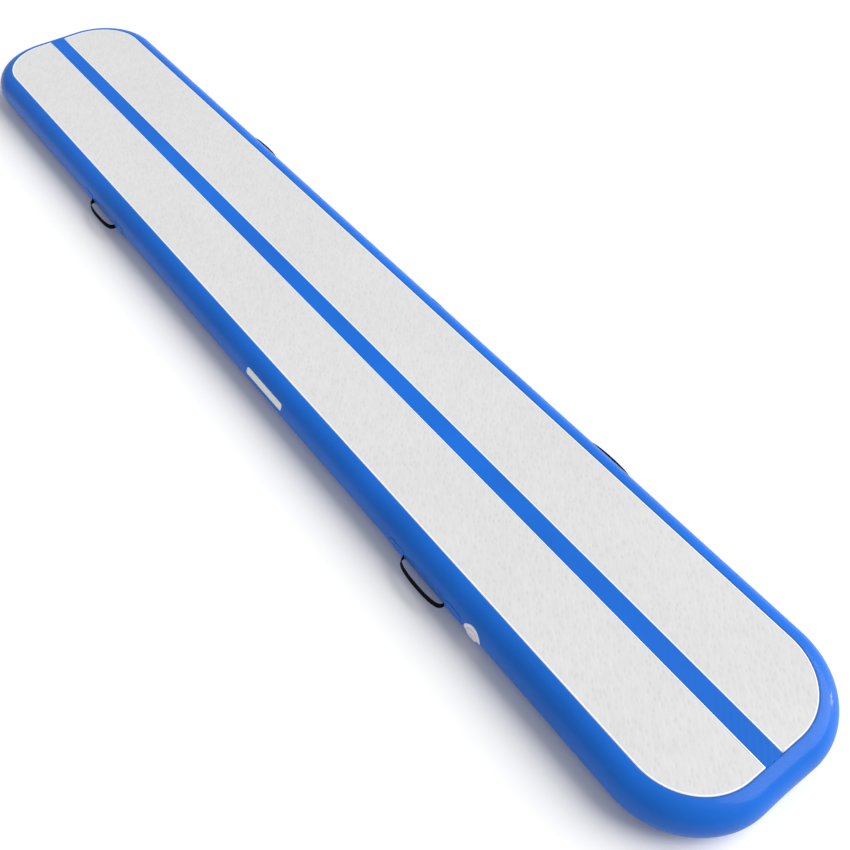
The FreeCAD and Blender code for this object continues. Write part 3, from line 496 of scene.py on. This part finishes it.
def face_sheet(name, inner, outer, level, up, finish, node):
    """A sheet on the top or bottom face; inner and outer are functions of x."""
    xs = stations_along()
    columns = COVER_COLUMNS
    points = []
    for x in xs:
        a, b = inner(x), outer(x)
        for j in range(columns):
            y = a + (b - a) * j / (columns - 1)
            border = soft_step(min(j, columns - 1 - j), 0, 2)
            points.append(Vector((x, y, level + up * quilt_height(x, y) * border)))
    faces = grid_faces(len(xs), columns)
    if (points[columns] - points[0]).cross(points[1] - points[0]).z * up < 0:
        faces = [tuple(reversed(f)) for f in faces]
    sheet = add_piece(name, points, faces, finish)
    thicken(sheet, COVER_CLOTH)
    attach(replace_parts(sheet, node), "mat")
    widths = [abs(outer(x) - inner(x)) for x in xs]
    flat = (abs(outer(0) - inner(0)), 2 * FACE_X)


def face_coverings():
    top = LINE_HIGH.z
    for label, side in SIDES.items():
        start = (LINE_HIGH.y if side > 0 else LINE_LOW.y) + side * FACE_INSET
        face_sheet(
            f"{label}_landing_cloth", lambda x, s=start: s, lambda x, k=side: k * edge_reach(x),
            top, 1, "grey_landing_cover", f"{label}_landing_cover",
        )
    face_sheet(
        "centre_line_cloth", lambda x: LINE_LOW.y, lambda x: LINE_HIGH.y, top + LINE_LIFT, 1,
        "blue_pvc", "centre_line_strip",
    )
    face_sheet(
        "bottom_cloth", lambda x: -edge_reach(x), edge_reach, BOTTOM_LIFT, -1,
        "blue_underside", "bottom_cover",
    )


# A bead's section as shares of its width and height.
BEAD_SECTION = [(-0.5, 0.0), (-0.3, 0.75), (0.0, 1.0), (0.3, 0.75), (0.5, 0.0)]
BEAD_SKIN = 0.2 * MM
WELD_WIDTH, WELD_HEIGHT = 0.0035, 0.0011
SQUEEZE_WIDTH, SQUEEZE_HEIGHT = 0.006, 0.0009

# Where each bead runs: insets from the face's edge, and its distance past the line's edge.
WELD_INSET = LAP_WIDTH - 0.001
SQUEEZE_INSET = LAP_WIDTH + 0.005
LINE_END_INSET = 0.006
LINE_SQUEEZE_OFFSET = 0.003
RIM_STEP = 0.02
LINE_STEP = 0.1


def bead(name, stations, width, height, finish):
    """A low rounded bead of weld along a line of (point, sideways direction)."""
    points = [
        p + way * (a * width) + Vector((0, 0, THICK + h * height))
        for p, way in stations for a, h in BEAD_SECTION
    ]
    faces = grid_faces(len(stations), len(BEAD_SECTION))
    made = add_piece(name, points, faces, finish)
    thicken(made, BEAD_SKIN, 1.0)
    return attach(made, "mat")


def rim_run(inset, side):
    """The face's outline on one side of the centre line, from end to end of the mat."""
    edge = LINE_HIGH.y if side > 0 else LINE_LOW.y
    ring = outline(inset, RIM_STEP)
    beyond = [side * (point.y - edge) > 0 for point, _ in ring]
    start = next(i for i in range(len(ring)) if beyond[i] and not beyond[i - 1])
    order = [(start + i) % len(ring) for i in range(len(ring))]
    run = [ring[i] for i in order if beyond[i]]
    ends = [(Vector((point.x, edge, 0)), way) for point, way in (run[0], run[-1])]
    return [ends[0]] + run + [ends[1]]


def seams():
    """Where the grey meets the blue: a pale bead on the grey, a dark weld on the blue."""
    for label, side in SIDES.items():
        rim = rim_run(WELD_INSET, side)
        bead(f"{label}_rim_weld", rim, WELD_WIDTH, WELD_HEIGHT, "dark_seam")
        y = (LINE_HIGH.y if side > 0 else LINE_LOW.y) + side * LINE_SQUEEZE_OFFSET
        reach = FACE_X - LAP_WIDTH - LINE_END_INSET
        line = [(Vector((x, y, 0)), Vector((0, 1, 0))) for x in spread(-reach, reach, LINE_STEP)]
        for part, run in (("rim", rim_run(SQUEEZE_INSET, side)), ("line", line)):
            name = f"{label}_{part}_squeeze"
            bead(name, run, SQUEEZE_WIDTH, SQUEEZE_HEIGHT, "seam_bead")


# ------------------------------------------------------------ patches on the wall
PATCH_STEP = 0.004
PATCH_CORNER_STEP = 0.16
PATCH_COLUMNS = 25


def wall_sheet(name, x_mid, side, tilt, half_x, half_w, corner, lift, thickness, finish):
    """A round-cornered sheet that follows the long wall. lift is a function of (x, w)."""
    def reach(x):
        past = abs(x) - (half_x - corner)
        return half_w - (corner - math.sqrt(max(0.0, corner ** 2 - past ** 2)) if past > 0 else 0.0)

    flat = spread(-(half_x - corner), half_x - corner, PATCH_STEP)
    bend = spread(0, math.pi / 2, PATCH_CORNER_STEP)[1:]
    turn = [half_x - corner + corner * math.sin(t) for t in bend]
    xs = [-x for x in reversed(turn)] + flat + turn
    columns = PATCH_COLUMNS
    points = []
    for x in xs:
        for j in range(columns):
            w = reach(x) * (2 * j / (columns - 1) - 1)
            rise = lift(x, w)
            points.append(wall_point(x_mid + x, side, math.radians(tilt) + w / ROUND, rise))
    faces = grid_faces(len(xs), columns)
    if side < 0:
        faces = [tuple(reversed(f)) for f in faces]
    made = add_piece(name, points, faces, finish)
    return declare_sheet(made, thickness)


LABEL_CORNER = 0.012
LABEL_LIFT = 0.0006
LABEL_FILM = 0.3 * MM
JOINT_CORNER = 0.006
JOINT_LIFT = 0.001
JOINT_CLOTH = 0.8 * MM


def label_plate():
    low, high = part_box("blank_label")
    plate = wall_sheet(
        "blank_label_film", (low.x + high.x) / 2, -1, LABEL_TILT, (high.x - low.x) / 2, LABEL_RISE,
        LABEL_CORNER, lambda x, w: LABEL_LIFT, LABEL_FILM, "white_label",
    )
    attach(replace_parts(plate, "blank_label"), "mat")


def joint_cover():
    low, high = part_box("wall_joint_patch")
    rise = ROUND * math.asin((high.z - low.z) / 2 / ROUND)
    cover = wall_sheet(
        "wall_joint_strip", (low.x + high.x) / 2, 1, 0.0, (high.x - low.x) / 2, rise,
        JOINT_CORNER, lambda x, w: JOINT_LIFT, JOINT_CLOTH, "blue_pvc",
    )
    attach(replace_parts(cover, "wall_joint_patch"), "mat")


VALVE_RING_STEP = 0.0025
VALVE_SEGMENTS = 96
VALVE_PATCH_GAP = 0.0006
VALVE_PATCH_LIFT = 0.0012
VALVE_PATCH_BEVEL = 0.003
VALVE_PATCH_DROP = 0.0008
VALVE_PATCH_CLOTH = 1.0 * MM


def valve_patch():
    """The round pale patch welded round the valve."""
    low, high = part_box("valve_seat_patch")
    centre_x, radius = (low.x + high.x) / 2, (high.x - low.x) / 2
    rings = spread(VALVE_BARREL + VALVE_PATCH_GAP, radius, VALVE_RING_STEP)
    points = []
    for turn in (math.tau * i / VALVE_SEGMENTS for i in range(VALVE_SEGMENTS)):
        for r in rings:
            edge = soft_step(r, radius - VALVE_PATCH_BEVEL, radius)
            lift = VALVE_PATCH_LIFT - VALVE_PATCH_DROP * edge
            angle = math.radians(VALVE_TILT) + r * math.sin(turn) / ROUND
            points.append(wall_point(centre_x + r * math.cos(turn), -1, angle, lift))
    faces = grid_faces(VALVE_SEGMENTS, len(rings), closed=True)
    made = add_piece("valve_patch_cloth", points, faces, "pale_valve_patch")
    declare_sheet(made, VALVE_PATCH_CLOTH)
    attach(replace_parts(made, "valve_seat_patch"), "mat")


# Heights from the wall's outer face, along the valve's own axis.
CUP_FLOOR = -0.0188
RETAINER_LOW = -0.0084
# The coil: its radius to the wire's middle, the wire's own radius, and the gap at each end.
SPRING_RADIUS = 0.0046
SPRING_WIRE = 0.00045
SPRING_TURNS = 4.5
SPRING_GAP = 0.0001
WIRE_SIDES = 8
SPRING_STEPS = 130


def valve_spring():
    """The coil under the push button, which shortens as the valve is pressed."""
    tilt = math.radians(VALVE_TILT)
    foot = wall_point(VALVE_X, -1, tilt, CUP_FLOOR)
    out = Vector((0, -math.cos(tilt), -math.sin(tilt)))
    across = Vector((1, 0, 0))
    upright = out.cross(across)
    start = SPRING_WIRE + SPRING_GAP
    rise = RETAINER_LOW - CUP_FLOOR - 2 * start
    sides = WIRE_SIDES
    points = []
    for i in range(SPRING_STEPS + 1):
        share = i / SPRING_STEPS
        turn = math.tau * SPRING_TURNS * share
        way = across * math.cos(turn) + upright * math.sin(turn)
        middle = foot + out * (start + rise * share) + way * SPRING_RADIUS
        for k in range(sides + 1):
            around = math.tau * k / sides
            points.append(middle + (way * math.cos(around) + out * math.sin(around)) * SPRING_WIRE)
    faces = grid_faces(SPRING_STEPS + 1, sides + 1)
    last = SPRING_STEPS * (sides + 1)
    faces += [tuple(range(sides)), tuple(last + k for k in reversed(range(sides)))]
    coil = add_piece("valve_spring_coil", points, faces, "spring_steel")
    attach(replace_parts(coil, "valve_spring"), "mat")
    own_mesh(coil)


# ------------------------------------------------------------------ carry handles
# The grip's lower edge leans out by this many degrees.
GRIP_LEAN = -14.0
STRAP_HALF = 0.0125
STRAP_THICK = 0.0022
STRAP_BOW = 0.0409
STRAP_SPAN = 0.135
TAB_LENGTH = 0.062
TAB_LIFT = 0.0014
TAB_STEP = 0.004
TAB_SHORT = 0.010
GRIP_STEP = 0.045
STRAP_COLUMNS = 9
# Powers under 1 square off the grip's round, along the wall and away from it.
ALONG_POWER = 0.86
OUT_POWER = 0.62
# Heights off the wall over which the webbing's width stops following the wall's curve and leans.
FREE_START = 0.002
FREE_END = 0.014


def strap_line():
    """(x, lift) down the middle of the webbing, from tab to tab over the grip."""
    start = -(STRAP_SPAN + TAB_LENGTH)
    tab = [(start + d, TAB_LIFT) for d in spread(0, TAB_LENGTH - TAB_SHORT, TAB_STEP)]
    grip = []
    for turn in spread(0, math.pi, GRIP_STEP):
        x = -STRAP_SPAN * math.copysign(abs(math.cos(turn)) ** ALONG_POWER, math.cos(turn))
        grip.append((x, TAB_LIFT + (STRAP_BOW - TAB_LIFT) * abs(math.sin(turn)) ** OUT_POWER))
    return tab + grip + [(-x, lift) for x, lift in reversed(tab)]


def strap_point(x_mid, side, x, lift, w):
    """Webbing lies on the wall at its tabs; at the grip its lower edge leans out."""
    tilt, lean = math.radians(HANDLE_TILT), math.radians(GRIP_LEAN)
    on_wall = wall_point(x_mid + x, side, tilt + w / ROUND, lift)
    middle = wall_point(x_mid + x, side, tilt, lift)
    across = Vector((0, -side * math.sin(lean), -math.cos(lean)))
    free = middle + across * w
    share = soft_step(lift, FREE_START, FREE_END)
    return on_wall.lerp(free, share)


def strap(name, x_mid, side):
    line = strap_line()
    columns = STRAP_COLUMNS
    points = []
    for x, lift in line:
        for j in range(columns):
            w = STRAP_HALF * (2 * j / (columns - 1) - 1)
            points.append(strap_point(x_mid, side, x, lift, w))
    faces = grid_faces(len(line), columns)
    if side < 0:
        faces = [tuple(reversed(f)) for f in faces]
    made = add_piece(f"{name}_handle_webbing", points, faces, "black_webbing")
    thicken(made, STRAP_THICK, 0.0)
    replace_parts(made, f"{name}_handle_loop", f"{name}_handle_sewn_ends")
    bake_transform(made)


HANDLE_PATCH_HALF = 0.048
HANDLE_PATCH_RISE = 0.037
HANDLE_PATCH_CORNER = 0.014
HANDLE_PATCH_CLOTH = 1.2 * MM
HANDLE_PATCH_LIFT = 0.0015
SWELL_HEIGHT = 0.0026
SWELL_SIDE = 0.006
SWELL_START = 0.014
SWELL_END = 0.022


def patch_lift(x, w):
    """Height of a handle patch's outer face: it swells over the webbing's tab."""
    over = 1 - soft_step(abs(w), STRAP_HALF, STRAP_HALF + SWELL_SIDE)
    tab = 1 - soft_step(abs(x), TAB_LENGTH / 2 + SWELL_START, TAB_LENGTH / 2 + SWELL_END)
    return HANDLE_PATCH_LIFT + SWELL_HEIGHT * over * tab


def patch_pair(name, side):
    """The two patches that hold a handle's ends. Returns the handle's middle along X."""
    low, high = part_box(f"{name}_handle_patches")
    x_mid = (low.x + high.x) / 2
    half = HANDLE_PATCH_HALF
    for tag, sign in (("front", 1), ("back", -1)):
        centre = x_mid + sign * ((high.x - low.x) / 2 - half)
        made = wall_sheet(
            f"{name}_handle_patch_{tag}", centre, side, HANDLE_TILT, half, HANDLE_PATCH_RISE,
            HANDLE_PATCH_CORNER, lambda x, w, s=sign: patch_lift(x + s * (half - TAB_LENGTH / 2), w),
            HANDLE_PATCH_CLOTH, "blue_pvc",
        )
        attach(made, "mat")
        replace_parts(made, f"{name}_handle_patches")
    return x_mid


def carry_handles():
    for name in ("front_left", "back_left", "front_right", "back_right"):
        side = -1 if name.endswith("left") else 1
        strap(name, patch_pair(name, side), side)


# -------------------------------------------------------------------------- stage
# The photograph's viewing angle: place in metres, turns in degrees, lens in millimetres.
CAMERA_PLACE = (3.3014, -1.7953, 3.5627)
CAMERA_HEADING = 52.580
CAMERA_DOWN = 49.756
CAMERA_ROLL = 0.556
LENS = 42.72

FLOOR_HALF = 40.0
FLOOR_GREY = (0.93, 0.93, 0.93)
FLOOR_DROP = 0.0005
WORLD_STRENGTH = 0.42
SUN_STRENGTH = 3.45
SUN_SPREAD = 56
SUN_FROM = (0.75, 1.25, 1.4)
# A small soft light off the near right corner, for the highlight on it.
STRIP_SIZE = (0.6, 0.9)
STRIP_POWER = 45
STRIP_PLACE = (4.85, 5.0, 1.05)
STRIP_AIM_Y = 0.35


def add_camera():
    data = bpy.data.cameras.new("camera")
    data.lens = LENS
    camera = bpy.data.objects.new("camera", data)
    bpy.context.scene.collection.objects.link(camera)
    heading = Matrix.Rotation(math.radians(CAMERA_HEADING), 4, "Z")
    pitch = Matrix.Rotation(math.radians(90 - CAMERA_DOWN), 4, "X")
    roll = Matrix.Rotation(math.radians(CAMERA_ROLL), 4, "Z")
    camera.matrix_world = Matrix.Translation(CAMERA_PLACE) @ heading @ pitch @ roll
    bpy.context.scene.camera = camera


def add_floor():
    half = FLOOR_HALF
    corners = [(-half, -half, 0), (half, -half, 0), (half, half, 0), (-half, half, 0)]
    mesh = bpy.data.meshes.new("floor")
    mesh.from_pydata(corners, [], [(0, 1, 2, 3)])
    made = Finish("pale_floor", 0.9)
    made.paint(made.mottle(FLOOR_GREY, 0.6, 0.004))
    mesh.materials.append(made.material)
    floor = bpy.data.objects.new("floor", mesh)
    floor.location.z = -FLOOR_DROP
    bpy.context.scene.collection.objects.link(floor)


def aim(item, direction):
    """Turns a light so that it shines from this direction."""
    item.rotation_euler = Vector(direction).to_track_quat("Z", "Y").to_euler()


def add_world():
    world = bpy.data.worlds.new("studio")
    world.use_nodes = True
    background = world.node_tree.nodes["Background"]
    background.inputs["Color"].default_value = (1, 1, 1, 1)
    background.inputs["Strength"].default_value = WORLD_STRENGTH
    bpy.context.scene.world = world


def add_light():
    data = bpy.data.lights.new("key", "SUN")
    data.energy = SUN_STRENGTH
    data.angle = math.radians(SUN_SPREAD)
    key = bpy.data.objects.new("key", data)
    aim(key, SUN_FROM)
    bpy.context.scene.collection.objects.link(key)
    data = bpy.data.lights.new("strip", "AREA")
    data.shape = "RECTANGLE"
    data.size, data.size_y = STRIP_SIZE
    data.energy = STRIP_POWER
    strip = bpy.data.objects.new("strip", data)
    strip.location = STRIP_PLACE
    aim(strip, strip.location - Vector((FACE_X, STRIP_AIM_Y, THICK)))
    bpy.context.scene.collection.objects.link(strip)


finish_frame_nodes()
side_wall()
face_coverings()
seams()
label_plate()
joint_cover()
valve_patch()
valve_spring()
carry_handles()
add_camera()
add_floor()
add_world()
add_light()
bpy.context.scene.view_settings.view_transform = "Standard"
